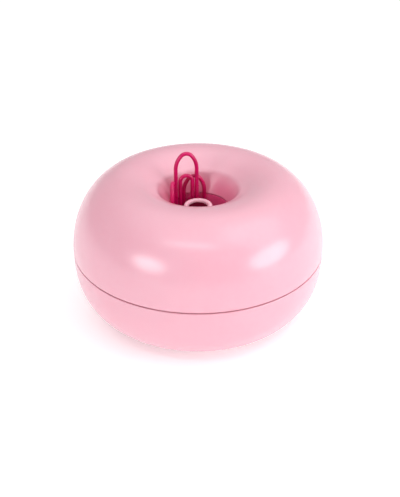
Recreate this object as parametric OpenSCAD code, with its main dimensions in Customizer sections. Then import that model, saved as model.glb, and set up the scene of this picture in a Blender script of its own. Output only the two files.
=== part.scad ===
// Ring-shaped magnetic paper clip dispenser.
// +Z is up. The origin is the centre of the underside, on the surface that it stands on.
// The base holds the ballast, the clip hopper and the guide post. The cover is the upper half
// with the funnel throat, and it carries the ring magnet. Clips stand in the gap round the post.

/* [Body] */
// Outer diameter of the body at the parting seam
body_d = 72; // [68:0.5:76]
// Height of the crest of the ring above the table
crown_z = 42; // [40:0.25:43]
// Radius of the crest of the ring
crest_r = 21; // [20.5:0.1:21.5]
// Height of the parting seam above the table
seam_z = 21.3; // [20.8:0.1:21.8]
// Visible gap at the parting seam
seam_gap = 0.36; // [0.2:0.02:0.5]
// Radius of the flat underside
underside_r = 14; // [13:0.25:15]
// Exponent of the superellipse above the seam
crown_power = 1.95; // [1.8:0.05:2.2]
// Exponent of the superellipse below the seam
belly_power = 2.7; // [2.4:0.1:3]
// Wall thickness of both shells
wall = 1.8; // [1.6:0.1:2]

/* [Throat] */
// Radius of the arc from the crest towards the throat
flank_rad = 12.9; // [12:0.1:14]
// Slope of the funnel above the lip, in degrees
flank_slope = 31; // [28:1:33]
// Radius at which the lip begins
lip_r = 12.3; // [12:0.05:12.6]
// Radius of the rounded lip
lip_rad = 3; // [2.5:0.1:3.5]
// Slope of the throat wall below the lip, in degrees
throat_slope = 64; // [62:1:66]
// Height of the lower rim of the throat
rim_z = 32.4; // [32:0.1:32.8]

/* [Magnet and neck] */
// Inner radius of the neck sleeve
neck_r = 8.7; // [8.6:0.05:8.8]
// Wall of the neck sleeve
neck_wall = 1.2; // [1:0.1:1.2]
// Outer radius of the ring magnet
magnet_r = 15; // [14:0.1:15.1]
// Height of the ring magnet
magnet_h = 3.2; // [2.6:0.1:3.3]

/* [Guide post] */
// Outer radius of the guide post
post_r = 4.1; // [3.9:0.05:4.2]
// Wall of the guide post
post_wall = 1.4; // [1.2:0.1:1.6]
// Height of the top of the guide post above the table
post_top = 33.3; // [32.6:0.1:34]

/* [Paper clips] */
// Length of a paper clip
clip_len = 28; // [26:0.5:29]
// Width of a paper clip
clip_w = 7.2; // [6.8:0.1:7.4]
// Diameter of the coated wire
clip_wire = 1.15; // [1:0.05:1.15]
// Distance from the outer bend to the inner bend
clip_inset = 6.8; // [5.5:0.1:7.5]
// Clips in each layer of the reserve
layer_clips = 4; // [2:2:4]
// Layers of reserve clips in each of the three stacks
stack_layers = 2; // [1:1:2]

/* [Base] */
// Thickness of the rubber feet that shows below the shell
foot_show = 0.6; // [0.4:0.1:0.8]
// Diameter of a rubber foot
foot_d = 7; // [6:0.5:8]
// Number of rubber feet
foot_count = 3; // [3:1:4]
// Radius of the steel ballast plate
ballast_r = 21; // [18:0.5:21]
// Thickness of the steel ballast plate
ballast_h = 6.5; // [5:0.5:6.5]

/* [Hidden] */
$fn = 96;
eps = 0.01;
curve_steps = 30;
running_gap = 0.05;
contact_gap = 0.1;

body_r = body_d / 2;
floor_z = foot_show + wall;
standoff_h = 1;
ballast_z = floor_z + standoff_h;
liner_t = 1.2;
liner_z = ballast_z + ballast_h;
liner_flat_r = 26.5;
liner_rim_r = 31.3;
liner_rim_z = 17;
tongue_r = body_r - wall - 0.2;
tongue_wall = 2.1;
tongue_top = seam_z + 4;
ledge_z = seam_z - 3.8;
ledge_h = 3.1;
seal_wire = 1.2;
seal_z = seam_z + 2.3;
collar_r = magnet_r + 0.2;
collar_wall = 1.4;
flange_t = 1.2;
flange_z = 26.6;
post_hole_r = post_r + 0.3;
screw_pitch_r = 12;
screw_count = 3;
screw_head_r = 2.4;
screw_head_h = 1;
screw_shank_r = 1.1;
screw_recess_h = 1.3;
screw_hole_r = 1.3;
foot_pitch_r = 16.5;
plug_top = post_top - 0.8;
plug_h = 2;
bore_floor = 14;

// Colours
pink = [0.95, 0.72, 0.78];
magenta = [0.76, 0.08, 0.34];
deep_magenta = [0.5, 0.08, 0.24];
steel = [0.62, 0.63, 0.65];
dark_rubber = [0.42, 0.3, 0.33];
grey_rubber = [0.3, 0.3, 0.31];

// ---- Outline of the body ----

// A point of a quarter superellipse, at angle t from its equator
function quarter(cr, cz, a, b, n, t) = [cr + a * pow(cos(t), 2 / n), cz + b * pow(sin(t), 2 / n)];

// The quarter above the seam, from the seam to the crest, moved in by an inset
function crown(inset) = [for (i = [0 : curve_steps])
    quarter(crest_r, seam_z, body_r - crest_r - inset, crown_z - seam_z - inset,
            crown_power, 90 * i / curve_steps)];

// The quarter below the seam, from the underside to the seam, moved in by an inset
function belly(inset) = [for (i = [curve_steps : -1 : 0])
    quarter(underside_r, seam_z, body_r - underside_r - inset, foot_show + inset - seam_z,
            belly_power, 90 * i / curve_steps)];

// Funnel surface as [radius, height, slope], from the crest to the lower rim
flank_end = [crest_r - flank_rad * sin(flank_slope), crown_z - flank_rad * (1 - cos(flank_slope))];
lip_start = [lip_r, flank_end[1] - (flank_end[0] - lip_r) * tan(flank_slope)];
lip_steps = 10;
flank_arc = [for (i = [1 : lip_steps]) let (s = flank_slope * i / lip_steps)
    [crest_r - flank_rad * sin(s), crown_z - flank_rad * (1 - cos(s)), s]];
lip_arc = [for (i = [0 : lip_steps]) let (s = flank_slope + (throat_slope - flank_slope) * i / lip_steps)
    [lip_start[0] - lip_rad * (sin(s) - sin(flank_slope)),
     lip_start[1] - lip_rad * (cos(flank_slope) - cos(s)), s]];
lip_end = lip_arc[lip_steps];
rim = [lip_end[0] - (lip_end[1] - rim_z) / tan(throat_slope), rim_z, throat_slope];
funnel = concat(flank_arc, lip_arc, [rim]);

// The funnel surface moved down into the wall by an inset
function funnel_at(inset) = [for (p = funnel) [p[0] + inset * sin(p[2]), p[1] - inset * cos(p[2])]];

function reversed(list) = [for (i = [len(list) - 1 : -1 : 0]) list[i]];

// ---- Shells ----

module cover_shell() {
    color(pink) rotate_extrude() difference() {
        union() {
            polygon(concat(crown(0), funnel_at(0), reversed(funnel_at(wall)), reversed(crown(wall))));
            translate([collar_r, flange_z]) square([collar_wall, crown_z - 3.2 - flange_z]);
        }
        // Socket for the tongue of the base
        square([tongue_r + running_gap, tongue_top + 0.4]);
        square([body_r + 1, seam_z + seam_gap / 2]);
    }
}

module base_shell() {
    color(pink) difference() {
        union() {
            rotate_extrude() difference() {
                polygon(concat([[0, foot_show]], belly(0), reversed(belly(wall)), [[0, floor_z]]));
                translate([0, seam_z - seam_gap / 2]) square([body_r + 1, seam_gap]);
            }
            rotate_extrude() tongue_section();
            ring_of(screw_count, screw_pitch_r, 60) translate([0, 0, floor_z - eps])
                cylinder(r = 3, h = standoff_h + eps);
        }
        ring_of(foot_count, foot_pitch_r, 0) cylinder(d = foot_d, h = 2 * foot_show);
        ring_of(screw_count, screw_pitch_r, 60) screw_recess();
        screw_recess();
    }
}

// Upright lip on the base, with a ledge into the wall and a groove for the seam ring
module tongue_section() {
    difference() {
        union() {
            translate([tongue_r - tongue_wall, ledge_z]) square([tongue_wall, tongue_top - ledge_z]);
            translate([tongue_r - tongue_wall, ledge_z]) square([tongue_wall + 0.8, ledge_h]);
        }
        translate([tongue_r - seal_wire - running_gap, seal_z - seal_wire / 2 - running_gap])
            square([seal_wire + 1, seal_wire + 2 * running_gap]);
    }
}

module ring_of(count, pitch_r, start) {
    for (i = [0 : count - 1]) rotate([0, 0, start + 360 * i / count]) translate([pitch_r, 0, 0]) children();
}

module screw_recess() {
    cylinder(r = screw_head_r + 0.2, h = foot_show + screw_recess_h);
    cylinder(r = screw_hole_r, h = ballast_z + 1);
}

// Flat-headed screw with a cross slot, driven in from below
module screw(length) {
    head_z = foot_show + screw_recess_h;
    color(steel) difference() {
        union() {
            translate([0, 0, head_z - screw_head_h]) cylinder(r = screw_head_r, h = screw_head_h);
            translate([0, 0, head_z - eps]) cylinder(r = screw_shank_r, h = length);
        }
        for (a = [0, 90]) rotate([0, 0, a])
            translate([-1.5, -0.3, head_z - screw_head_h - eps]) cube([3, 0.6, 0.5]);
    }
}

module seam_ring() {
    color(dark_rubber) rotate_extrude()
        translate([tongue_r - seal_wire / 2, seal_z]) circle(d = seal_wire, $fn = 32);
}

module rubber_feet() {
    color(grey_rubber) ring_of(foot_count, foot_pitch_r, 0) cylinder(d = foot_d, h = 2 * foot_show);
}

// ---- Inside the base ----

module ballast_plate() {
    color(steel) difference() {
        translate([0, 0, ballast_z]) cylinder(r = ballast_r, h = ballast_h);
        cylinder(r = post_hole_r, h = liner_z + 1);
        ring_of(screw_count, screw_pitch_r, 60) cylinder(r = screw_shank_r, h = liner_z - 1);
    }
}

module ballast_screws() {
    ring_of(screw_count, screw_pitch_r, 60) screw(6);
}

// Shallow bowl that the clips lie in
module hopper_liner() {
    color(pink) rotate_extrude() polygon([
        [post_hole_r, liner_z], [liner_flat_r, liner_z], [liner_rim_r + liner_t, liner_rim_z],
        [liner_rim_r, liner_rim_z], [liner_flat_r - 0.6, liner_z + liner_t], [post_hole_r, liner_z + liner_t]]);
}

module guide_post() {
    color(pink) difference() {
        rotate_extrude() {
            translate([0, floor_z]) square([post_r, post_top - post_wall / 2 - floor_z]);
            translate([post_r - post_wall / 2, post_top - post_wall / 2]) circle(d = post_wall, $fn = 32);
        }
        translate([0, 0, bore_floor]) cylinder(r = post_r - post_wall, h = post_top);
        cylinder(r = screw_shank_r, h = floor_z + 9);
    }
}

module post_plug() {
    color(deep_magenta) translate([0, 0, plug_top - plug_h]) cylinder(r = post_r - post_wall, h = plug_h);
}

module post_screw() {
    screw(8);
}

// ---- Neck and magnet, carried by the cover ----

// Flanged bush that lines the throat below its rim and closes the magnet pocket
module neck_sleeve() {
    top_drop = (neck_r + neck_wall - rim[0]) / tan(throat_slope);
    color(magenta) rotate_extrude() polygon([
        [neck_r, flange_z], [collar_r, flange_z], [collar_r, flange_z + flange_t],
        [neck_r + neck_wall, flange_z + flange_t], [neck_r + neck_wall, rim_z - top_drop - contact_gap],
        [neck_r, rim_z - contact_gap]]);
}

module ring_magnet() {
    color(steel) translate([0, 0, flange_z + flange_t]) difference() {
        cylinder(r = magnet_r, h = magnet_h);
        translate([0, 0, -1]) cylinder(r = neck_r + neck_wall + 0.1, h = magnet_h + 2);
    }
}

// ---- Paper clips ----

clip_pitch = clip_wire + 0.1;
outer_bend = (clip_w - clip_wire) / 2;
inner_bend = outer_bend - clip_pitch;
lower_bend = outer_bend - clip_pitch / 2;
outer_bend_z = clip_len - clip_w / 2;
inner_bend_z = clip_len - clip_inset - clip_wire / 2 - inner_bend;
lower_bend_z = lower_bend + clip_wire / 2;
outer_end_z = 8;
inner_end_z = 8.6;

// Half ring of wire, open downwards
module bend(radius) {
    rotate([90, 0, 0]) rotate_extrude(angle = 180) translate([radius, 0]) circle(d = clip_wire, $fn = 24);
}

module leg(x, low, high) {
    translate([x, 0, low]) cylinder(d = clip_wire, h = high - low, $fn = 24);
}

// Upright clip with its lower bend on z = 0 and its width along X
module paper_clip() {
    translate([0, 0, outer_bend_z]) bend(outer_bend);
    leg(-outer_bend, outer_end_z, outer_bend_z);
    leg(outer_bend, lower_bend_z, outer_bend_z);
    translate([clip_pitch / 2, 0, lower_bend_z]) mirror([0, 0, 1]) bend(lower_bend);
    leg(-inner_bend, lower_bend_z, inner_bend_z);
    translate([0, 0, inner_bend_z]) bend(inner_bend);
    leg(inner_bend, inner_end_z, inner_bend_z);
}

// Clip that stands in the throat with its middle at x, y, turned about Z, with its top at top_z
module standing_clip(x, y, turn, top_z) {
    color(magenta) translate([x, y, top_z - clip_len]) rotate([0, 0, turn]) paper_clip();
}

module clip_tall() {
    standing_clip(-3.4, 5.3, 11, 47);
}

module clip_right() {
    standing_clip(-1.2, 7.1, 10, 39.3);
}

module clip_left() {
    standing_clip(-7.2, 0.2, 88, 40.1);
}

// Layers of clips that lie flat on the liner, round the post
reserve_r = 18;
layer_step = clip_wire + 0.1;
layer_turn = 22.5;

module reserve_stack(first) {
    color(magenta) for (k = [first : first + stack_layers - 1])
        translate([0, 0, liner_z + liner_t + clip_wire / 2 + contact_gap + k * layer_step])
            ring_of(layer_clips, reserve_r, layer_turn * k)
                rotate([-90, 0, 0]) translate([0, 0, -clip_len / 2]) paper_clip();
}

module reserve_clips_lower() {
    reserve_stack(0);
}

module reserve_clips_middle() {
    reserve_stack(stack_layers);
}

module reserve_clips_upper() {
    reserve_stack(2 * stack_layers);
}

base_shell();
ballast_plate();
ballast_screws();
hopper_liner();
guide_post();
post_plug();
post_screw();
rubber_feet();
seam_ring();
cover_shell();
neck_sleeve();
ring_magnet();
clip_tall();
clip_right();
clip_left();
reserve_clips_lower();
reserve_clips_middle();
reserve_clips_upper();
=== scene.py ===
"""Ring-shaped magnetic paper clip dispenser: its visible pieces, their finishes and a small studio.

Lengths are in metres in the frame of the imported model: +Z is up, and the origin is the centre of the
underside, on the surface that the dispenser stands on.
"""

import logging
import math
from dataclasses import dataclass, field
from enum import Enum
from typing import Callable, Iterable, Sequence

import bmesh
import bpy
from mathutils import Matrix, Vector


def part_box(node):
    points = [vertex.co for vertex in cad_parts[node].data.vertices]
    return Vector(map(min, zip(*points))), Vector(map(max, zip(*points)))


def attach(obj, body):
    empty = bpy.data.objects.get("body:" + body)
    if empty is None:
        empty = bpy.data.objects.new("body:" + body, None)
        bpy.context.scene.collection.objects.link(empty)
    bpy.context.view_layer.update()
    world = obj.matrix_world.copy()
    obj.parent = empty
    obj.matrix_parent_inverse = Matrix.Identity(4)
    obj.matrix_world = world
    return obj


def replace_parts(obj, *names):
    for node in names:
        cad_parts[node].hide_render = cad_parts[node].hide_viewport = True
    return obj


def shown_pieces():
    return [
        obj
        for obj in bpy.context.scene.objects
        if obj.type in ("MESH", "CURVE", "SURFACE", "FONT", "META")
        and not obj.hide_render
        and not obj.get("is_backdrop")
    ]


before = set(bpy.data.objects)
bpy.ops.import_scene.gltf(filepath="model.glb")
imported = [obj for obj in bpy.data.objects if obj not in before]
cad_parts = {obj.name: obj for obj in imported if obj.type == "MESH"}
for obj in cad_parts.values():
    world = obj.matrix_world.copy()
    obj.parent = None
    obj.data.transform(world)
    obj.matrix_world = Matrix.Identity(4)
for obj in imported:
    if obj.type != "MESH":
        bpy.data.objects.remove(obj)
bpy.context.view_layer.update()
MM = 0.001
ORIGIN = Vector((0, 0, 0))
SEAM_GAP = 0.36 * MM
SEAM_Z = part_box("cover_shell")[0].z - SEAM_GAP / 2
WELD = 0.1e-3 * MM
SLIVER = 2e-3 * MM
LOG = logging.getLogger("clip_dispenser")

Number = int | float
Piece = bpy.types.Object
Colour = tuple[float, float, float]


# Shader graphs


def operator(operation: str, reflected: bool = False) -> Callable[["Value", "Value | Number"], "Value"]:
    """Makes a method of Value that adds a Math node, with the other operand first if reflected."""
    def method(self: "Value", other: "Value | Number") -> "Value":
        """Applies the operation to the value and the other operand."""
        pair = (other, self) if reflected else (self, other)
        return self.graph.node("ShaderNodeMath", {"operation": operation}, dict(enumerate(pair)))
    return method


class Value:
    """A socket of a shader graph. Arithmetic on it adds Math nodes."""

    def __init__(self, graph: "Graph", socket: bpy.types.NodeSocket) -> None:
        """Keeps the graph and the output socket that the value comes from."""
        self.graph = graph
        self.socket = socket

    __add__ = operator("ADD")
    __radd__ = operator("ADD", True)
    __sub__ = operator("SUBTRACT")
    __rsub__ = operator("SUBTRACT", True)
    __mul__ = operator("MULTIPLY")
    __rmul__ = operator("MULTIPLY", True)
    maximum = operator("MAXIMUM")

    def __abs__(self) -> "Value":
        """The size of the value, without its sign."""
        return self.graph.node("ShaderNodeMath", {"operation": "ABSOLUTE"}, {0: self})

    def step(self, low: float, high: float) -> "Value":
        """A smooth mask that is 0 at low and 1 at high, which may be the smaller of the two."""
        ranges = {"From Min": low, "From Max": high, "To Min": 0.0, "To Max": 1.0, "Value": self}
        return self.graph.node("ShaderNodeMapRange", {"interpolation_type": "SMOOTHSTEP"}, ranges)


Input = Value | Number | Sequence[float]


class Graph:
    """Builds the node tree of a material or of the world."""

    def __init__(self, owner: bpy.types.Material | bpy.types.World,
                 output: str = "ShaderNodeOutputMaterial") -> None:
        """Empties the owner's tree and gives it an output node of the given type."""
        self.owner = owner
        owner.use_nodes = True
        self.tree = owner.node_tree
        self.tree.nodes.clear()
        self.output = self.tree.nodes.new(output)

    def node(self, kind: str, settings: dict[str, object] | None = None,
             inputs: dict[str | int, Input] | None = None, output: str | int = 0) -> Value:
        """Adds any node.

        Args:
            kind: The node's type.
            settings: Its properties, which are set before its sockets.
            inputs: Values or links, by the input socket's name or number.
            output: The output socket's name or number.

        Returns:
            That output.
        """
        made = self.tree.nodes.new(kind)
        for name, setting in (settings or {}).items():
            setattr(made, name, setting)
        for name, given in (inputs or {}).items():
            self.feed(made.inputs[name], given)
        return Value(self, made.outputs[output])

    def feed(self, socket: bpy.types.NodeSocket, given: Input) -> None:
        """Links a value to an input socket, or sets the socket to a number, vector or colour."""
        if isinstance(given, Value):
            self.tree.links.new(given.socket, socket)
        elif isinstance(given, (int, float)):
            socket.default_value = given
        else:
            room = len(socket.default_value)
            socket.default_value = (*given, 1.0)[:room]

    def place(self) -> Value:
        """The point on the surface, in metres in the piece's own frame."""
        return self.node("ShaderNodeTexCoord", output="Object")

    def height(self) -> Value:
        """The height of the point on the surface above the table."""
        return self.node("ShaderNodeSeparateXYZ", inputs={0: self.place()}, output="Z")

    def radius(self) -> Value:
        """The distance of the point on the surface from the vertical axis."""
        sides = {0: self.place(), 1: (1.0, 1.0, 0.0)}
        flat = self.node("ShaderNodeVectorMath", {"operation": "MULTIPLY"}, sides)
        return self.node("ShaderNodeVectorMath", {"operation": "LENGTH"}, {0: flat}, output="Value")

    def stretched(self, x: float, y: float, z: float) -> Value:
        """The point on the surface with each axis scaled."""
        return self.node("ShaderNodeMapping", inputs={"Vector": self.place(), "Scale": (x, y, z)})

    def noise(self, size: float, detail: float = 2.0, rough: float = 0.5,
              where: Value | None = None) -> Value:
        """Fractal noise, about 0.5 on average, whose largest features have the given size."""
        sockets = {"Vector": where or self.place(), "Scale": 1.0 / size, "Detail": detail, "Roughness": rough}
        return self.node("ShaderNodeTexNoise", {"noise_dimensions": "3D"}, sockets)

    def scratches(self, size: float, thin: float) -> Value:
        """A mask that is 1 on hair scratches, size apart and thin times as long as they are wide."""
        one = self.noise(size, 3.0, 0.6, self.stretched(1.0, thin, 1.0 / thin)).step(0.685, 0.72)
        two = self.noise(size, 3.0, 0.6, self.stretched(thin, 1.0 / thin, 1.0)).step(0.69, 0.725)
        return one.maximum(two)

    def mix(self, factor: Value | float, first: Input, second: Input, blend: str = "MIX") -> Value:
        """Mixes two colours. The factor says how much of the second is taken."""
        settings = {"data_type": "RGBA", "blend_type": blend, "clamp_factor": True}
        return self.node("ShaderNodeMix", settings, {"Factor": factor, 6: first, 7: second}, output=2)

    def bump(self, height: Value, distance: float, strength: float, under: Value | None = None) -> Value:
        """Turns a height from 0 to 1, which measures distance at 1, into a normal over the one under it."""
        sockets: dict[str | int, Input] = {"Height": height, "Distance": distance, "Strength": strength}
        if under is not None:
            sockets["Normal"] = under
        return self.node("ShaderNodeBump", inputs=sockets)

    def surface(self, sockets: dict[str | int, Input]) -> bpy.types.Material:
        """Ends the tree with a Principled shader that has these inputs, and returns the material."""
        shader = self.node("ShaderNodeBsdfPrincipled", inputs=sockets)
        self.tree.links.new(shader.socket, self.output.inputs["Surface"])
        return self.owner


def linear(red: int, green: int, blue: int) -> Colour:
    """Converts a display colour, with channels from 0 to 255, to a linear one."""
    def channel(v: float) -> float:
        """One channel, from 0 to 1."""
        return v / 12.92 if v <= 0.04045 else ((v + 0.055) / 1.055) ** 2.4
    return (channel(red / 255), channel(green / 255), channel(blue / 255))


# Finishes


# Painted shade and painted bounce light: this multiplies the shell's colour in the throat, darker and redder,
# as light that bounces between pink walls grows redder.
THROAT_PAINTED_SHADE: Colour = (1.0, 0.6, 0.75)


@dataclass(frozen=True)
class Skin:
    """What every finish has: its name, its colour, and the colour of its patches, stains or dust."""

    name: str
    colour: Colour
    deep: Colour

    def graph(self) -> Graph:
        """The empty node tree of a new material with the finish's name."""
        return Graph(bpy.data.materials.new(self.name))


@dataclass(frozen=True)
class GlossMoulding(Skin):
    """Injection-moulded plastic with a polished skin.

    Attributes:
        roughness: The skin's mean roughness.
        scatter: How much light passes through the skin.
        seam: The height of a parting line that holds a little dust, or None.
        seam_reach: How far the dust reaches from it.
        throat: Radii at which the throat's painted shade, a darker and redder colour, begins and is full, or
            None. It keeps to the upper half of the ring.
        throat_shade_z: Heights between which that painted shade sets in.
    """

    roughness: float = 0.22
    scatter: float = 0.12
    # seam: The height of a parting line, along which the colour is darker in a narrow band, or None.         seam_reach: How far that darker band reaches from it.
    seam: float | None = None
    seam_reach: float = 0.35 * MM
    throat: tuple[float, float] | None = None
    throat_shade_z: tuple[float, float] = (24 * MM, 26 * MM)

    def material(self) -> bpy.types.Material:
        """Makes the material."""
        g = self.graph()
        patches = g.noise(28 * MM, 3.0, 0.55)
        grain = g.noise(1.6 * MM, 4.0, 0.65)
        smudge = g.noise(9 * MM, 3.0, 0.5).step(0.35, 0.8)
        hairs = g.scratches(2.6 * MM, 9.0)
        colour = g.mix(patches.step(0.35, 0.75) * 0.5 + grain.step(0.4, 0.7) * 0.12, self.colour, self.deep)
        if self.seam is not None:
            near = abs(g.height() - self.seam).step(self.seam_reach, 0.2 * self.seam_reach)
            colour = g.mix(near * 0.2, colour, tuple(0.7 * c for c in self.deep))
        if self.throat is not None:
            # Painted shade: inside the throat the colour is multiplied darker and redder, in place of the
            # shade and reddened bounce light there.
            inside = g.radius().step(*self.throat) * g.height().step(*self.throat_shade_z)
            colour = g.mix(inside, colour, g.mix(1.0, colour, THROAT_PAINTED_SHADE, "MULTIPLY"))
        rough = self.roughness + smudge * 0.03 + hairs * 0.015 + grain * 0.015
        peel = g.bump(g.noise(2.2 * MM, 2.0, 0.45), 0.02 * MM, 0.2)
        normal = g.bump(1 - hairs, 0.0004 * MM, 0.1, peel)
        return g.surface({
            "Base Color": colour, "Roughness": rough, "Normal": normal, "IOR": 1.5,
            "Subsurface Weight": self.scatter, "Subsurface Radius": (1.0, 0.45, 0.55),
            "Subsurface Scale": 1.6 * MM, "Coat Weight": 0.15, "Coat Roughness": 0.3})


@dataclass(frozen=True)
class CoatedWire(Skin):
    """Steel wire in a thin coloured vinyl coat.

    Attributes:
        roughness: The coat's mean roughness.
    """

    roughness: float = 0.24

    def material(self) -> bpy.types.Material:
        """Makes the material."""
        g = self.graph()
        runs = g.noise(3.5 * MM, 3.0, 0.6)
        specks = g.noise(0.5 * MM, 4.0, 0.7).step(0.66, 0.74)
        colour = g.mix(runs.step(0.35, 0.7) * 0.7, self.colour, self.deep)
        colour = g.mix(specks * 0.2, colour, tuple(min(1.0, 1.6 * c + 0.02) for c in self.colour))
        rough = self.roughness + runs * 0.1 + specks * 0.15
        coat = g.bump(g.noise(0.9 * MM, 3.0, 0.5), 0.03 * MM, 0.35)
        normal = g.bump(1 - specks, 0.006 * MM, 0.4, coat)
        return g.surface({
            "Base Color": colour, "Roughness": rough, "Normal": normal, "IOR": 1.5,
            "Subsurface Weight": 0.05, "Subsurface Radius": (1.0, 0.2, 0.4), "Subsurface Scale": 0.4 * MM,
            "Coat Weight": 0.1, "Coat Roughness": 0.1})


@dataclass(frozen=True)
class PlatedMetal(Skin):
    """Plated or bare steel, turned or pressed.

    Attributes:
        roughness: The metal's mean roughness.
        turning: The distance between turning marks, or 0 for none.
    """

    roughness: float = 0.3
    turning: float = 0.0

    def material(self) -> bpy.types.Material:
        """Makes the material."""
        g = self.graph()
        blotch = g.noise(5 * MM, 5.0, 0.65).step(0.45, 0.72)
        grit = g.noise(0.35 * MM, 3.0, 0.6)
        hairs = g.scratches(1.4 * MM, 12.0)
        colour = g.mix(blotch * 0.45, self.colour, self.deep)
        height = grit * 0.4 - hairs
        if self.turning:
            rings = g.node("ShaderNodeTexWave", {"wave_type": "RINGS", "rings_direction": "Z"}, {
                "Vector": g.place(), "Scale": 0.3 / self.turning, "Distortion": 0.3, "Detail": 1.0}, output=1)
            height = height + rings * 0.6
        rough = self.roughness + blotch * 0.15 + hairs * 0.12 + grit * 0.05
        return g.surface({
            "Base Color": colour, "Roughness": rough, "Metallic": 1.0,
            "Normal": g.bump(height, 0.012 * MM, 0.4)})


@dataclass(frozen=True)
class SoftRubber(Skin):
    """Matt rubber with a dusty, slightly pitted skin.

    Attributes:
        ior: The index of refraction of its skin.
    """

    ior: float = 1.45

    def material(self) -> bpy.types.Material:
        """Makes the material."""
        g = self.graph()
        film = g.noise(3 * MM, 5.0, 0.65).step(0.45, 0.8)
        pits = g.noise(0.3 * MM, 3.0, 0.6)
        colour = g.mix(film * 0.35, self.colour, self.deep)
        return g.surface({
            "Base Color": colour, "Roughness": 0.72 + film * 0.2, "IOR": self.ior,
            "Normal": g.bump(pits, 0.04 * MM, 0.5)})


@dataclass(frozen=True)
class StudioPaper(Skin):
    """Seamless pale paper that the dispenser stands on. It glows a little, by lift."""

    name: str = "studio_paper"
    colour: Colour = (0.92, 0.92, 0.92)
    deep: Colour = (0.8924, 0.8924, 0.8924)
    lift: float = 0.3

    def material(self) -> bpy.types.Material:
        """Makes the material."""
        g = self.graph()
        fibre = g.noise(0.8 * MM, 3.0, 0.6)
        tone = g.mix(fibre * 0.1, self.colour, self.deep)
        return g.surface({
            "Base Color": tone, "Roughness": 0.9, "Specular IOR Level": 0.1,
            "Emission Color": tone, "Emission Strength": self.lift})


class Finish(Enum):
    """Every finish of the dispenser, with the record's slot that it belongs to."""

    SHELL = ("shell", GlossMoulding("shell_plastic", linear(230, 172, 187), linear(229, 162, 178),
                                    seam=SEAM_Z, throat=(12.2 * MM, 9.2 * MM)))
    LINER = ("liner", GlossMoulding("liner_plastic", linear(238, 160, 180), linear(230, 146, 168), 0.38))
    POST = ("post", GlossMoulding("post_plastic", linear(253, 200, 214), linear(250, 190, 205), 0.22))
    # Painted shade: the plug is magenta, and its colour is darkened further to stand in for the shade in the
    # post's bore.
    PLUG = ("plug", SoftRubber("plug_rubber_painted_shade", linear(88, 6, 30), linear(76, 8, 30), 1.05))
    NECK = ("neck", GlossMoulding("neck_plastic", linear(252, 100, 160), linear(240, 80, 142), 0.28, 0.05))
    CLIP = ("clip_coating", CoatedWire("clip_vinyl", linear(208, 2, 98), linear(178, 1, 78)))
    NICKEL = ("nickel", PlatedMetal("magnet_nickel", (0.78, 0.76, 0.72), (0.55, 0.53, 0.5), 0.22))
    BALLAST = ("ballast", PlatedMetal("ballast_steel", (0.52, 0.52, 0.54), (0.36, 0.35, 0.34), 0.38,
                                      0.5 * MM))
    SCREW = ("screws", PlatedMetal("screw_zinc", (0.68, 0.69, 0.72), (0.5, 0.49, 0.45), 0.28, 0.18 * MM))
    CUT_WIRE = ("clip_coating", PlatedMetal("cut_wire_steel", (0.6, 0.6, 0.6), (0.35, 0.33, 0.3), 0.4))
    FEET = ("feet", SoftRubber("foot_rubber", (0.045, 0.045, 0.048), (0.18, 0.17, 0.16)))
    SEAL = ("seal", SoftRubber("seal_rubber", (0.16, 0.06, 0.08), (0.3, 0.2, 0.2)))

    @property
    def slot(self) -> str:
        """The record's material slot."""
        return self.value[0]

    def material(self) -> bpy.types.Material:
        """The finish's material, made once."""
        made = bpy.data.materials.get(self.value[1].name)
        return made or self.value[1].material()


# Meshes


@dataclass(frozen=True)
class Corner:
    """A corner of an outline, at radius r and height z, with the radius of its rounding."""

    r: float
    z: float
    rounding: float = 0.0


def rounded(outline: Sequence[Corner], steps: int = 6) -> list[tuple[float, float]]:
    """Rounds the corners of a closed outline.

    Args:
        outline: Its corners, in order.
        steps: The number of chords in each rounding.

    Returns:
        The points of the rounded outline.
    """
    points: list[tuple[float, float]] = []
    for i, corner in enumerate(outline):
        here = Vector((corner.r, corner.z))
        if corner.rounding <= 0:
            points.append(tuple(here))
            continue
        before, after = outline[i - 1], outline[(i + 1) % len(outline)]
        back = Vector((before.r, before.z)) - here
        ahead = Vector((after.r, after.z)) - here
        half = back.angle(ahead) / 2
        reach = min(corner.rounding / math.tan(half), 0.49 * back.length, 0.49 * ahead.length)
        start, end = here + back.normalized() * reach, here + ahead.normalized() * reach
        middle = here + (back.normalized() + ahead.normalized()).normalized() * reach / math.cos(half)
        first, last = start - middle, end - middle
        turn = first.angle_signed(last)
        for k in range(steps + 1):
            a = -turn * k / steps
            spoke = Vector((first.x * math.cos(a) - first.y * math.sin(a),
                            first.x * math.sin(a) + first.y * math.cos(a)))
            points.append(tuple(middle + spoke))
    return points


def arc(r: float, z: float, radius: float, end: float, steps: int) -> list[Corner]:
    """Corners along an arc about r, z, from its outermost point to an angle in degrees."""
    turns = (math.radians(end) * k / steps for k in range(steps + 1))
    return [Corner(r + radius * math.cos(a), z + radius * math.sin(a)) for a in turns]


def placed(name: str, data: bpy.types.ID) -> Piece:
    """An object with the given data, linked to the scene."""
    made = bpy.data.objects.new(name, data)
    bpy.context.scene.collection.objects.link(made)
    return made


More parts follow.
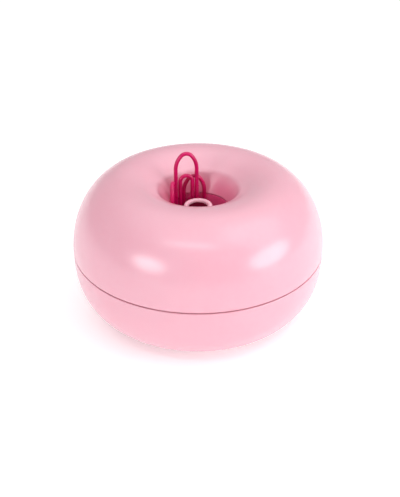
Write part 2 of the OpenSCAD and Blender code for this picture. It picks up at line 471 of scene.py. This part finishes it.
def finish_mesh(name: str, mesh: bmesh.types.BMesh, finish: Finish, flat_angle: float = 40.0) -> Piece:
    """Turns a bmesh into an object with a finish.

    Args:
        name: The piece's name.
        mesh: The bmesh, which is used up.
        finish: The finish of all its faces.
        flat_angle: Edges sharper than this, in degrees, stay crisp.

    Returns:
        The object, linked to the scene.
    """
    bmesh.ops.remove_doubles(mesh, verts=mesh.verts, dist=WELD)
    bmesh.ops.dissolve_degenerate(mesh, edges=mesh.edges, dist=0.1 * WELD)
    bmesh.ops.recalc_face_normals(mesh, faces=mesh.faces)
    data = bpy.data.meshes.new(name)
    mesh.to_mesh(data)
    mesh.free()
    data.shade_smooth()
    data.set_sharp_from_angle(angle=math.radians(flat_angle))
    data.materials.append(finish.material())
    made = placed(name, data)
    return made


def weigh_normals(piece: Piece) -> None:
    """Lets large faces set the shading of the small roundings beside them."""
    weighted = piece.modifiers.new("weighted_normals", "WEIGHTED_NORMAL")
    weighted.keep_sharp = True
    weighted.weight = 80


def lathe(name: str, outline: Sequence[Corner], finish: Finish, segments: int = 144,
          centre: Vector = ORIGIN, phase: float = 0.0) -> Piece:
    """Turns a closed outline about a vertical axis.

    Args:
        name: The piece's name.
        outline: The section's corners. Those with r = 0 lie on the axis.
        finish: The finish.
        segments: The number of segments in a full turn.
        centre: A point on the axis.
        phase: How far the first section is turned, in degrees.

    Returns:
        The piece.
    """
    mesh = bmesh.new()
    add_lathe(mesh, rounded(outline), segments, centre, phase)
    made = finish_mesh(name, mesh, finish)
    weigh_normals(made)
    return made


def add_lathe(mesh: bmesh.types.BMesh, points: Sequence[tuple[float, float]], segments: int,
              centre: Vector = ORIGIN, phase: float = 0.0) -> None:
    """Adds a turned closed section, given as radius and height, to a bmesh, as in lathe()."""
    rings = []
    for k in range(segments):
        a = 2 * math.pi * k / segments + math.radians(phase)
        turned = (Vector((r * math.cos(a), r * math.sin(a), z)) for r, z in points)
        rings.append([mesh.verts.new(centre + point) for point in turned])
    for k, ring in enumerate(rings):
        beside = rings[(k + 1) % segments]
        for i in range(len(points)):
            j = (i + 1) % len(points)
            if points[i][0] < 1e-9 and points[j][0] < 1e-9:
                continue
            mesh.faces.new((ring[i], ring[j], beside[j], beside[i]))


def cut(piece: Piece, cutters: Iterable[Piece], operation: str = "DIFFERENCE") -> None:
    """Combines a piece with others and applies the result.

    Args:
        piece: The piece that is kept.
        cutters: The others, which are removed.
        operation: DIFFERENCE or UNION.
    """
    for other in cutters:
        step = piece.modifiers.new("cut", "BOOLEAN")
        step.operation, step.object, step.solver = operation, other, "MANIFOLD"
        graph = bpy.context.evaluated_depsgraph_get()
        result = bpy.data.meshes.new_from_object(piece.evaluated_get(graph))
        piece.modifiers.remove(step)
        old, piece.data = piece.data, result
        bpy.data.meshes.remove(old)
        bpy.data.objects.remove(other)
    mesh = bmesh.new()
    mesh.from_mesh(piece.data)
    bmesh.ops.triangulate(mesh, faces=[f for f in mesh.faces if len(f.verts) > 4])
    bmesh.ops.dissolve_degenerate(mesh, edges=mesh.edges, dist=SLIVER)
    bmesh.ops.remove_doubles(mesh, verts=mesh.verts, dist=SLIVER)
    mesh.to_mesh(piece.data)
    mesh.free()
    baked = piece.data.attributes.get("custom_normal")
    if baked is not None:
        piece.data.attributes.remove(baked)


def ring_places(count: int, radius: float, start: float = 0.0) -> list[Vector]:
    """Evenly spaced points on a circle about the axis, at height 0. The first is at start degrees."""
    angles = (math.radians(start + 360 * k / count) for k in range(count))
    return [Vector((radius * math.cos(a), radius * math.sin(a), 0)) for a in angles]


def box_centre(node: str) -> Vector:
    """The middle of a CAD node's box."""
    low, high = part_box(node)
    return (low + high) / 2


# Body


@dataclass
class Body:
    """Cover and base of the ring, which meet at the seam.

    Attributes:
        crest_r: Radius of the crest of the ring.
        underside_r: Radius of the flat underside.
        crown_power: Superellipse exponent above the seam.
        belly_power: Superellipse exponent below the seam.
        flank_rad: Radius of the arc from the crest towards the throat.
        flank_slope: Slope of the funnel above the lip, in degrees.
        lip_r: Radius at which the lip begins.
        lip_rad: Radius of the lip's rounding.
        throat_slope: Slope of the throat's wall, in degrees.
        rim_z: Height of the throat's lower rim.
        collar_r: Inner radius of the collar round the magnet.
        collar_wall: Wall of that collar.
        tongue_wall: Wall of the base's upright lip.
        ledge_drop: How far the tongue reaches below the seam.
    """

    crest_r: float = 21.0 * MM
    underside_r: float = 14.0 * MM
    crown_power: float = 1.95
    belly_power: float = 2.7
    wall: float = 1.8 * MM
    edge: float = 0.22 * MM
    flank_rad: float = 12.9 * MM
    flank_slope: float = 31.0
    lip_r: float = 12.3 * MM
    lip_rad: float = 3.0 * MM
    throat_slope: float = 64.0
    rim_z: float = 32.4 * MM
    collar_r: float = 15.2 * MM
    collar_wall: float = 1.4 * MM
    tongue_wall: float = 2.1 * MM
    ledge_drop: float = 3.8 * MM
    steps: int = 40
    radius: float = field(init=False)
    crown_z: float = field(init=False)
    foot_show: float = field(init=False)
    tongue_top: float = field(init=False)

    def __post_init__(self) -> None:
        """Reads the outer sizes from the CAD shells."""
        cover_high, (base_low, base_high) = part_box("cover_shell")[1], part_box("base_shell")
        self.radius, self.crown_z = cover_high.x, cover_high.z
        self.foot_show, self.tongue_top = base_low.z, base_high.z

    def quarter(self, centre_r: float, end_z: float, power: float, inset: float) -> list[Corner]:
        """Points of a quarter superellipse that starts at the seam.

        Args:
            centre_r: Radius of its centre, where it ends.
            end_z: The height that it ends at.
            power: Its exponent.
            inset: How far it is moved in.

        Returns:
            The points, from the seam on.
        """
        across, rise = self.radius - centre_r - inset, abs(end_z - SEAM_Z) - inset
        points = []
        for i in range(self.steps + 1):
            a = math.pi / 2 * i / self.steps
            height = math.copysign(rise * abs(math.sin(a)) ** (2 / power), end_z - SEAM_Z)
            points.append(Corner(centre_r + across * abs(math.cos(a)) ** (2 / power), SEAM_Z + height))
        return points

    def crown(self, inset: float) -> list[Corner]:
        """The surface from the seam up to the crest, moved in by an inset."""
        return self.quarter(self.crest_r, self.crown_z, self.crown_power, inset)

    def belly(self, inset: float) -> list[Corner]:
        """The surface from the seam down to the underside, moved in by an inset."""
        return self.quarter(self.underside_r, self.foot_show, self.belly_power, inset)

    def funnel(self, inset: float) -> list[Corner]:
        """The funnel from just inside the crest to the throat's rim, moved into the wall by an inset."""
        slope, steep = math.radians(self.flank_slope), math.radians(self.throat_slope)
        shape = []
        for i in range(1, self.steps // 2 + 1):
            s = slope * i / (self.steps // 2)
            shape.append((self.crest_r - self.flank_rad * math.sin(s),
                          self.crown_z - self.flank_rad * (1 - math.cos(s)), s))
        end_r, end_z, _ = shape[-1]
        lip_z = end_z - (end_r - self.lip_r) * math.tan(slope)
        for i in range(self.steps // 4 + 1):
            s = slope + (steep - slope) * i / (self.steps // 4)
            shape.append((self.lip_r - self.lip_rad * (math.sin(s) - math.sin(slope)),
                          lip_z - self.lip_rad * (math.cos(slope) - math.cos(s)), s))
        end_r, end_z, _ = shape[-1]
        shape.append((end_r - (end_z - self.rim_z) / math.tan(steep), self.rim_z, steep))
        return [Corner(r + inset * math.sin(s), z - inset * math.cos(s)) for r, z, s in shape]

    def rim_r(self) -> float:
        """Radius of the throat's lower rim."""
        return self.funnel(0)[-1].r

    def cover_outline(self) -> list[Corner]:
        """The cover's section: skin, throat, collar and the socket for the tongue."""
        low = SEAM_Z + SEAM_GAP / 2
        bore = self.radius - self.wall - 0.15 * MM
        socket_top = self.tongue_top + 0.4 * MM
        collar_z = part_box("neck_sleeve")[0].z
        collar_out = self.collar_r + self.collar_wall
        skin = [p for p in self.crown(0) if p.z > low + self.edge]
        outer, rim = self.funnel(0), self.funnel(0)[-1]
        rim_back = self.funnel(self.wall)[-1]
        back = list(reversed(self.funnel(self.wall)))
        roof = list(reversed([p for p in self.crown(self.wall) if p.z > socket_top + 0.3 * MM]))
        inside = [p for p in back if p.r > collar_out + 0.4 * MM] + roof
        throat_back = [p for p in back[1:] if p.r < self.collar_r - 0.4 * MM]
        return [
            Corner(self.radius, low, self.edge), *skin, *outer[:-1],
            Corner(rim.r, rim.z, 0.45 * MM), Corner(rim_back.r, rim_back.z, 0.3 * MM), *throat_back,
            Corner(self.collar_r, self.under_skin(self.collar_r), 0.3 * MM),
            Corner(self.collar_r, collar_z, 0.25 * MM), Corner(collar_out, collar_z, 0.4 * MM),
            Corner(collar_out, self.under_skin(collar_out), 0.3 * MM), *inside,
            Corner(bore, socket_top, 0.1 * MM), Corner(bore, low, 0.15 * MM)]

    def under_skin(self, r: float) -> float:
        """Height of the skin's inner side at a radius inside the crest."""
        inner = list(reversed(self.funnel(self.wall)))
        for a, b in zip(inner, inner[1:]):
            if a.r <= r <= b.r:
                return a.z + (b.z - a.z) * (r - a.r) / (b.r - a.r)
        return inner[-1].z

    def base_outline(self) -> list[Corner]:
        """The base's section: skin, seam edge, grooved tongue and floor."""
        top = SEAM_Z - SEAM_GAP / 2
        tongue = self.radius - self.wall - 0.2 * MM
        inner = tongue - self.tongue_wall
        seal_low, seal_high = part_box("seam_ring")
        groove_low, groove_high = seal_low.z - 0.05 * MM, seal_high.z + 0.05 * MM
        groove_r = tongue - (seal_high.z - seal_low.z) - 0.05 * MM
        ledge_z = SEAM_Z - self.ledge_drop
        skin = list(reversed([p for p in self.belly(0) if p.z < top - self.edge]))
        room = [p for p in self.belly(self.wall) if p.z < ledge_z - 0.1 * MM]
        return [
            Corner(0, self.foot_show), *skin, Corner(self.radius, top, self.edge),
            Corner(tongue, top, 0.1 * MM), Corner(tongue, groove_low, 0.08 * MM),
            Corner(groove_r, groove_low), Corner(groove_r, groove_high),
            Corner(tongue, groove_high, 0.08 * MM), Corner(tongue, self.tongue_top, 0.35 * MM),
            Corner(inner, self.tongue_top, 0.35 * MM), Corner(inner, ledge_z, 0.3 * MM),
            *room, Corner(0, self.foot_show + self.wall)]

    def build(self) -> None:
        """Builds the cover, the base with its recesses, and the seam ring."""
        cover = lathe("cover_moulding", self.cover_outline(), Finish.SHELL, 192)
        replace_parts(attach(cover, "cover"), "cover_shell")
        base = lathe("base_moulding", self.base_outline(), Finish.SHELL, 192, phase=0.83)
        Fittings().recess(base)
        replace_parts(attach(base, "base"), "base_shell")
        low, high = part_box("seam_ring")
        half = (high.z - low.z) / 2
        middle_r, middle_z = high.x - half, (low.z + high.z) / 2
        ring = lathe("seam_cord_ring", arc(middle_r, middle_z, half, 360, 16)[:-1], Finish.SEAL)
        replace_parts(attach(ring, "turning_ring"), "seam_ring")


# Fittings under and inside the base


@dataclass
class Fittings:
    """Screws, rubber feet, ballast and hopper liner.

    A pitch radius is that of the circle that the screws or feet stand on. The holes let the screws pass,
    and the bosses are the standoffs under the ballast.
    """

    screw_pitch_r: float = 12.0 * MM
    screw_count: int = 3
    head_r: float = 2.4 * MM
    head_h: float = 1.0 * MM
    shank_r: float = 1.1 * MM
    hole_r: float = 1.3 * MM
    boss_r: float = 3.0 * MM
    foot_count: int = 3
    foot_pitch_r: float = 16.5 * MM
    foot_r: float = 3.5 * MM

    def screw_places(self) -> list[Vector]:
        """Where the ballast screws stand."""
        return ring_places(self.screw_count, self.screw_pitch_r, 60)

    def foot_places(self) -> list[Vector]:
        """Where the rubber feet stand."""
        return ring_places(self.foot_count, self.foot_pitch_r)

    def drum(self, radius: float, bottom: float, top: float, edge: float, where: Vector,
             phase: float = 2.3) -> Piece:
        """A round solid for cutting or joining, with its top edge rounded and its facets turned by phase."""
        outline = [Corner(0, bottom), Corner(radius, bottom), Corner(radius, top, edge), Corner(0, top)]
        return lathe("drum", outline, Finish.SHELL, 48, where, phase)

    def recess(self, base: Piece) -> None:
        """Adds the standoffs to the base and cuts its foot pockets and screw recesses."""
        floor, ballast_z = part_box("guide_post")[0].z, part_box("ballast_plate")[0].z
        foot_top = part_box("rubber_feet")[1].z
        recess_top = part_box("ballast_screws")[0].z + self.head_h
        bosses = [self.drum(self.boss_r, floor - 0.5 * MM, ballast_z, 0.2 * MM, p, 1.1)
                  for p in self.screw_places()]
        cut(base, bosses, "UNION")
        under = -1.0 * MM
        cutters = [self.drum(self.foot_r, under, foot_top, 0.1 * MM, p) for p in self.foot_places()]
        for where in [*self.screw_places(), ORIGIN]:
            cutters.append(self.drum(self.head_r + 0.2 * MM, under, recess_top, 0.12 * MM, where))
            cutters.append(self.drum(self.hole_r, under, ballast_z + 1 * MM, 0.0, where))
        cut(base, cutters)
        base.data.shade_smooth()
        base.data.set_sharp_from_angle(angle=math.radians(40))

    def screws(self, name: str, node: str, places: Sequence[Vector]) -> Piece:
        """Cross-slotted screws at the given places, driven in from below, as one piece in a node's place."""
        low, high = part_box(node)
        under, seat = low.z, low.z + self.head_h
        outline = [
            Corner(0, under), Corner(self.head_r, under + 0.05 * MM, 0.45 * MM),
            Corner(self.head_r, seat, 0.08 * MM),
            Corner(self.shank_r, seat), *self.thread(seat, high.z), Corner(0, high.z)]
        made = []
        for k, where in enumerate(places):
            screw = lathe(f"{name}_{k}", outline, Finish.SCREW, 64, where)
            cut(screw, [self.slot_blade(where, under, 17.0 + 41.0 * k + a) for a in (0, 90)])
            made.append(screw)
        joined = bmesh.new()
        for screw in made:
            joined.from_mesh(screw.data)
            bpy.data.objects.remove(screw)
        piece = finish_mesh(name, joined, Finish.SCREW, 30)
        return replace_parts(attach(piece, "base"), node)

    def thread(self, low: float, high: float) -> list[Corner]:
        """Ridges along a shank, from its head to its tip."""
        pitch, depth, corners = 0.8 * MM, 0.22 * MM, []
        turns = int((high - low - 1.2 * MM) / pitch)
        for k in range(turns):
            z = low + 0.6 * MM + k * pitch
            corners += [Corner(self.shank_r - depth, z), Corner(self.shank_r, z + pitch / 2)]
        return [*corners, Corner(self.shank_r - depth, low + 0.6 * MM + turns * pitch)]

    def slot_blade(self, where: Vector, under: float, turn: float) -> Piece:
        """A tapered blade that cuts one arm of a cross slot, turned by some degrees."""
        mesh = bmesh.new()
        bmesh.ops.create_cube(mesh, size=1.0)
        for corner in mesh.verts:
            taper = 0.72 if corner.co.z > 0 else 1.0
            corner.co = Vector((corner.co.x * 3.0 * MM * taper, corner.co.y * 0.6 * MM * taper,
                                corner.co.z * 1.4 * MM - 0.2 * MM))
        spin = Matrix.Rotation(math.radians(turn), 4, "Z")
        mesh.transform(Matrix.Translation(where + Vector((0, 0, under))) @ spin)
        return finish_mesh("blade", mesh, Finish.SCREW)

    def feet(self) -> Piece:
        """Round rubber pads with a rolled edge and a shallow dimple."""
        low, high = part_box("rubber_feet")
        joined, side = bmesh.new(), self.foot_r - 0.03 * MM
        outline = rounded([
            Corner(0, low.z + 0.15 * MM), Corner(1.2 * MM, low.z + 0.12 * MM, 0.4 * MM),
            Corner(1.7 * MM, low.z, 0.3 * MM), Corner(side, low.z, 0.35 * MM),
            Corner(side, high.z, 0.05 * MM), Corner(0, high.z)])
        for where in self.foot_places():
            add_lathe(joined, outline, 64, where)
        piece = finish_mesh("foot_pads", joined, Finish.FEET)
        weigh_normals(piece)
        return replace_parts(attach(piece, "base"), "rubber_feet")

    def liner(self) -> Piece:
        """The shallow bowl that the reserve clips lie in."""
        low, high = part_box("hopper_liner")
        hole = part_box("guide_post")[1].x + 0.3 * MM
        thick, flat = 1.2 * MM, 26.5 * MM
        outline = [
            Corner(hole, low.z, 0.1 * MM), Corner(flat, low.z, 2.5 * MM), Corner(high.x, high.z, 0.25 * MM),
            Corner(high.x - thick, high.z, 0.25 * MM), Corner(flat - 0.6 * MM, low.z + thick, 2.0 * MM),
            Corner(hole, low.z + thick, 0.3 * MM)]
        piece = lathe("hopper_bowl", outline, Finish.LINER)
        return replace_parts(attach(piece, "base"), "hopper_liner")

    def build(self) -> None:
        """Builds every fitting and dresses the ballast plate."""
        self.screws("plate_screws", "ballast_screws", self.screw_places())
        self.screws("centre_screw", "post_screw", [ORIGIN])
        self.feet()
        self.liner()
        dress_cad("ballast_plate", Finish.BALLAST)


def dress_cad(node: str, finish: Finish) -> None:
    """Gives a CAD node that stays visible its finish."""
    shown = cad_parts[node]
    shown.data.materials.clear()
    shown.data.materials.append(finish.material())


# Post, neck and magnet


@dataclass
class Middle:
    """Guide post with its plug, and the neck and magnet that hang from the cover round it.

    Attributes:
        bore_floor: Height of the bottom of its bore.
        pilot_r: Radius of the hole for its screw.
        flange_t: Thickness of the neck sleeve's flange.
    """

    post_wall: float = 1.4 * MM
    bore_floor: float = 14.0 * MM
    pilot_r: float = 1.1 * MM
    flange_t: float = 1.2 * MM
    neck_wall: float = 1.2 * MM

    def post(self) -> Piece:
        """The tube with its rolled rim."""
        low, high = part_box("guide_post")
        outer, bore = high.x, high.x - self.post_wall
        roll, shoulder = self.post_wall / 2, high.z - self.post_wall / 2
        rim = arc(outer - roll, shoulder, roll, 180, 16)
        pilot_top = low.z + 9 * MM
        outline = [
            Corner(0, pilot_top), Corner(self.pilot_r, pilot_top), Corner(self.pilot_r, low.z, 0.15 * MM),
            Corner(outer, low.z, 0.3 * MM), *rim, Corner(bore, self.bore_floor, 0.3 * MM),
            Corner(0, self.bore_floor)]
        piece = lathe("post_tube", outline, Finish.POST, 96)
        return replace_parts(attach(piece, "base"), "guide_post")

    def plug(self) -> Piece:
        """The dished plug in the post's bore."""
        low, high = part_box("post_plug")
        r, dish = high.x - 0.02 * MM, 0.35 * MM
        outline = [Corner(0, low.z), Corner(r, low.z, 0.2 * MM), Corner(r, high.z, 0.15 * MM),
                   Corner(r - 0.5 * MM, high.z, 0.2 * MM), Corner(0.6 * r, high.z - dish, 0.3 * MM),
                   Corner(0, high.z - dish)]
        piece = lathe("bore_plug", outline, Finish.PLUG, 64)
        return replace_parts(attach(piece, "base"), "post_plug")

    def neck(self) -> Piece:
        """The flanged sleeve that lines the throat below its rim."""
        low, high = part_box("neck_sleeve")
        body = Body()
        inner = body.rim_r() + 0.1 * MM
        drop = (inner + self.neck_wall - body.rim_r()) / math.tan(math.radians(body.throat_slope))
        outline = [
            Corner(inner, low.z, 0.3 * MM), Corner(high.x, low.z, 0.25 * MM),
            Corner(high.x, low.z + self.flange_t, 0.15 * MM),
            Corner(inner + self.neck_wall, low.z + self.flange_t, 0.1 * MM),
            Corner(inner + self.neck_wall, high.z - drop), Corner(inner, high.z, 0.05 * MM)]
        piece = lathe("neck_bush", outline, Finish.NECK)
        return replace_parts(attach(piece, "cover"), "neck_sleeve")

    def magnet(self) -> Piece:
        """The nickel-plated ring magnet with its ground edges."""
        low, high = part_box("ring_magnet")
        inner, edge = Body().rim_r() + 0.2 * MM + self.neck_wall, 0.35 * MM
        outline = [Corner(inner, low.z, edge), Corner(high.x, low.z, edge),
                   Corner(high.x, high.z, edge), Corner(inner, high.z, edge)]
        piece = lathe("magnet_ring", outline, Finish.NICKEL)
        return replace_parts(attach(piece, "cover"), "ring_magnet")

    def build(self) -> None:
        """Builds the four pieces."""
        self.post()
        self.plug()
        self.neck()
        self.magnet()


# Paper clips


@dataclass(frozen=True)
class PaperClip:
    """One coated clip, bent from a single wire, standing on z = 0 with its width along X.

    Attributes:
        wire: Diameter of the coated wire.
        core: Diameter of the steel inside.
        inset: Distance from the outer bend to the inner bend.
        rise: Height of the outer bend, to the middle of the wire.
        crown: Radius of the crown of the outer bend.
        outer_end: Height of the outer free end.
        inner_end: Height of the inner free end.
    """

    length: float = 28.0 * MM
    width: float = 7.2 * MM
    wire: float = 1.15 * MM
    core: float = 0.9 * MM
    inset: float = 6.8 * MM
    rise: float = 4.7 * MM
    crown: float = 2.0 * MM
    outer_end: float = 8.0 * MM
    inner_end: float = 8.6 * MM
    bend_steps: int = 24
    sides: int = 20

    def route(self) -> list[Vector]:
        """The wire's middle line, from the outer free end to the inner one."""
        pitch = self.wire + 0.1 * MM
        outer = (self.width - self.wire) / 2
        inner, lower = outer - pitch, outer - pitch / 2
        top_z = self.length - self.wire / 2 - self.rise
        lift = self.rise - self.crown
        flank = (outer ** 2 + lift ** 2 - self.crown ** 2) / (outer - self.crown) / 2
        turn = math.atan2(lift, flank - outer)
        inner_z = self.length - self.inset - self.wire / 2 - inner
        low_z = lower + self.wire / 2
        points = self.leg(-outer, self.outer_end, top_z)
        points += self.bend(flank - outer, top_z, flank, math.pi, math.pi - turn)
        points += self.bend(0.0, top_z + lift, self.crown, math.pi - turn, turn)
        points += self.bend(outer - flank, top_z, flank, turn, 0.0)
        points += self.leg(outer, top_z, low_z)
        points += self.bend(pitch / 2, low_z, lower, 0.0, -math.pi)
        points += self.leg(-inner, low_z, inner_z)
        points += self.bend(0.0, inner_z, inner, math.pi, 0.0)
        points += self.leg(inner, inner_z, self.inner_end)
        return points

    @staticmethod
    def leg(x: float, start: float, end: float, steps: int = 6) -> list[Vector]:
        """Points along a straight leg, without the first one where it runs down from a bend."""
        first = 1 if start > end else 0
        return [Vector((x, 0, start + (end - start) * k / steps)) for k in range(first, steps + 1)]

    def bend(self, x: float, z: float, radius: float, start: float, end: float) -> list[Vector]:
        """Points inside a bend about x, z, from one angle to another."""
        turns = (start + (end - start) * k / self.bend_steps for k in range(1, self.bend_steps))
        return [Vector((x + radius * math.cos(a), 0, z + radius * math.sin(a))) for a in turns]

    def add_to(self, mesh: bmesh.types.BMesh, place: Matrix) -> None:
        """Sweeps the wire along its route into a bmesh. The cut ends show the steel in slot 1.

        Args:
            mesh: The bmesh.
            place: Where the clip goes.
        """
        line = self.route()
        line = [p for k, p in enumerate(line) if k == 0 or (p - line[k - 1]).length > 1e-6]
        across = Vector((0, 1, 0))
        trim, radius = 0.08 * MM, self.wire / 2
        rings: list[list[bmesh.types.BMVert]] = []

        def ring(at: Vector, along: Vector, r: float) -> None:
            """Adds one ring of the wire's skin."""
            side = along.cross(across).normalized()
            turns = [2 * math.pi * k / self.sides for k in range(self.sides)]
            rings.append([mesh.verts.new(place @ (at + r * (math.cos(a) * side + math.sin(a) * across)))
                          for a in turns])

        first, last = (line[1] - line[0]).normalized(), (line[-1] - line[-2]).normalized()
        ring(line[0], first, self.core / 2)
        ring(line[0], first, radius - trim)
        ring(line[0] + first * trim, first, radius)
        for k in range(1, len(line) - 1):
            ring(line[k], (line[k + 1] - line[k - 1]).normalized(), radius)
        ring(line[-1] - last * trim, last, radius)
        ring(line[-1], last, radius - trim)
        ring(line[-1], last, self.core / 2)
        for one, two in zip(rings, rings[1:]):
            for i in range(self.sides):
                j = (i + 1) % self.sides
                mesh.faces.new((one[i], one[j], two[j], two[i]))
        for end in (rings[0], list(reversed(rings[-1]))):
            mesh.faces.new(end).material_index = 1


@dataclass
class Clips:
    """The clips that stand in the throat, and the reserve that lies in the hopper.

    Attributes:
        turns: Turn in degrees of each standing clip, by its CAD node.
        reserve_r: Distance of the lying clips from the axis.
        in_layer: How many lie in each layer.
        layer_turn: Turn from one layer to the next, in degrees.
    """

    clip: PaperClip = field(default_factory=PaperClip)
    turns: dict[str, float] = field(default_factory=lambda: {
        "clip_tall": 11.0, "clip_right": 10.0, "clip_left": 88.0})
    reserve_r: float = 18.0 * MM
    in_layer: int = 4
    layer_turn: float = 22.5

    def standing(self, node: str, body: str) -> Piece:
        """A standing clip in the place of its CAD node, riding on a body."""
        mesh = bmesh.new()
        self.clip.add_to(mesh, Matrix.Rotation(math.radians(self.turns[node]), 4, "Z"))
        low = Vector(min(v.co[i] for v in mesh.verts) for i in range(3))
        high = Vector(max(v.co[i] for v in mesh.verts) for i in range(3))
        mesh.transform(Matrix.Translation(box_centre(node) - (low + high) / 2))
        piece = self.dressed(f"wire_{node}", mesh)
        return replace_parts(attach(piece, body), node)

    def reserve(self, node: str, first_layer: int) -> Piece:
        """Two layers of clips that lie flat round the post, in the place of a CAD node."""
        low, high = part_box(node)
        mesh = bmesh.new()
        heights = (low.z + self.clip.wire / 2, high.z - self.clip.wire / 2)
        centred = Matrix.Translation((0, 0, -self.clip.length / 2))
        lay = Matrix.Rotation(math.radians(-90), 4, "X") @ centred
        for k, z in enumerate(heights):
            lift = Matrix.Translation((0, 0, z))
            for n in range(self.in_layer):
                turn = self.layer_turn * (first_layer + k) + 360 * n / self.in_layer
                out = Matrix.Rotation(math.radians(turn), 4, "Z") @ Matrix.Translation((self.reserve_r, 0, 0))
                self.clip.add_to(mesh, lift @ out @ lay)
        piece = self.dressed(f"wire_{node}", mesh)
        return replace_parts(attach(piece, "base"), node)

    @staticmethod
    def dressed(name: str, mesh: bmesh.types.BMesh) -> Piece:
        """Finishes clips with the coat and the cut steel of their ends."""
        piece = finish_mesh(name, mesh, Finish.CLIP, 50)
        piece.data.materials.append(Finish.CUT_WIRE.material())
        return piece

    def build(self) -> None:
        """Builds the standing clips and the reserve."""
        for side in ("tall", "right", "left"):
            self.standing(f"clip_{side}", f"{side}_clip")
        for k, node in enumerate(("reserve_clips_lower", "reserve_clips_middle", "reserve_clips_upper")):
            self.reserve(node, 2 * k)


# Studio


def look(name: str, data: bpy.types.ID, out: Vector, distance: float) -> Piece:
    """Stands a light or camera at a distance from the seam's centre, and points it there."""
    made = placed(name, data)
    made.location = Vector((0, 0, SEAM_Z)) + out * distance
    made.rotation_mode = "QUATERNION"
    made.rotation_quaternion = (-out).to_track_quat("-Z", "Y")
    return made


@dataclass(frozen=True)
class SoftBox:
    """An oval light. Its azimuth runs from the front towards the right and its power is in watts."""

    name: str
    azimuth: float
    elevation: float
    width: float
    height: float
    power: float
    distance: float = 0.7

    def build(self) -> None:
        """Hangs the light and points it at the dispenser."""
        a, e = math.radians(self.azimuth), math.radians(self.elevation)
        out = Vector((math.sin(a) * math.cos(e), -math.cos(a) * math.cos(e), math.sin(e)))
        data = bpy.data.lights.new(self.name, "AREA")
        data.shape, data.size, data.size_y, data.energy = "ELLIPSE", self.width, self.height, self.power
        look(self.name, data, out, self.distance)


@dataclass
class Studio:
    """Floor, lights and camera.

    Attributes:
        elevation: The camera's height in degrees above the horizon.
        shift: The camera's shift, which frames the dispenser a little off the middle.
        floor_reach: Half the width of the paper.
        sky: Strength of the light from all round.
        zenith: How much stronger it is overhead.
        right: How much stronger it is on the right.
        back: How much stronger it is at the back.
    """

    elevation: float = 30.9
    distance: float = 216.0 * MM
    lens: float = 53.6
    shift: tuple[float, float] = (0.0037, -0.0165)
    floor_reach: float = 12.0
    sky: float = 0.07
    zenith: float = 1.22
    right: float = 0.12
    back: float = 0.42
    boxes: tuple[SoftBox, ...] = (
        SoftBox("left_box", -44, 17, 0.36, 0.2, 1.5),
        SoftBox("right_box", 66, 15, 0.52, 0.26, 2.2),
        SoftBox("high_fill", 78, 50, 0.6, 0.6, 1.25),
        SoftBox("top_strip", -12, 55, 0.55, 0.04, 0.55),
    )

    def camera(self) -> None:
        """Sets up the camera."""
        e = math.radians(self.elevation)
        back = Vector((0, -math.cos(e), math.sin(e)))
        data = bpy.data.cameras.new("camera")
        data.lens, data.sensor_width = self.lens, 36.0
        data.shift_x, data.shift_y = self.shift
        data.clip_start, data.clip_end = 0.01, 20.0
        bpy.context.scene.camera = look("camera", data, back, self.distance)

    def dome(self, world: bpy.types.World) -> None:
        """Lights the world evenly, with more light overhead, on the right and at the back."""
        g = Graph(world, "ShaderNodeOutputWorld")
        way = g.node("ShaderNodeTexCoord", output="Generated")
        across, away, up = (g.node("ShaderNodeSeparateXYZ", inputs={0: way}, output=axis) for axis in "XYZ")
        sides = across.step(0.2, 1.0) * self.right + away.step(0.0, 1.0) * self.back
        strength = self.sky + up.step(0.5, 1.0) * self.zenith + sides
        light = g.node("ShaderNodeBackground", inputs={"Color": (1.0, 1.0, 1.0), "Strength": strength})
        g.tree.links.new(light.socket, g.output.inputs["Surface"])

    def floor(self) -> None:
        """Lays the paper."""
        mesh = bmesh.new()
        bmesh.ops.create_grid(mesh, x_segments=8, y_segments=8, size=self.floor_reach)
        data = bpy.data.meshes.new("floor")
        mesh.to_mesh(data)
        mesh.free()
        data.materials.append(StudioPaper().material())
        paper = placed("floor", data)
        paper.location.z = -0.02 * MM
        paper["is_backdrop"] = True

    def build(self) -> None:
        """Builds the studio round the dispenser."""
        scene = bpy.context.scene
        scene.view_settings.view_transform = "Standard"
        scene.world = bpy.data.worlds.new("studio")
        self.dome(scene.world)
        self.camera()
        self.floor()
        for box in self.boxes:
            box.build()


def main() -> None:
    """Builds the studio and then the dispenser, piece by piece."""
    logging.basicConfig(level=logging.INFO, format="%(name)s: %(message)s")
    for maker in (Studio(), Body(), Fittings(), Middle(), Clips()):
        maker.build()
        LOG.info("%s built", type(maker).__name__)
    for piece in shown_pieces():
        LOG.info("piece %s, %d faces", piece.name, len(piece.data.polygons))


if __name__ == "__main__":
    main()
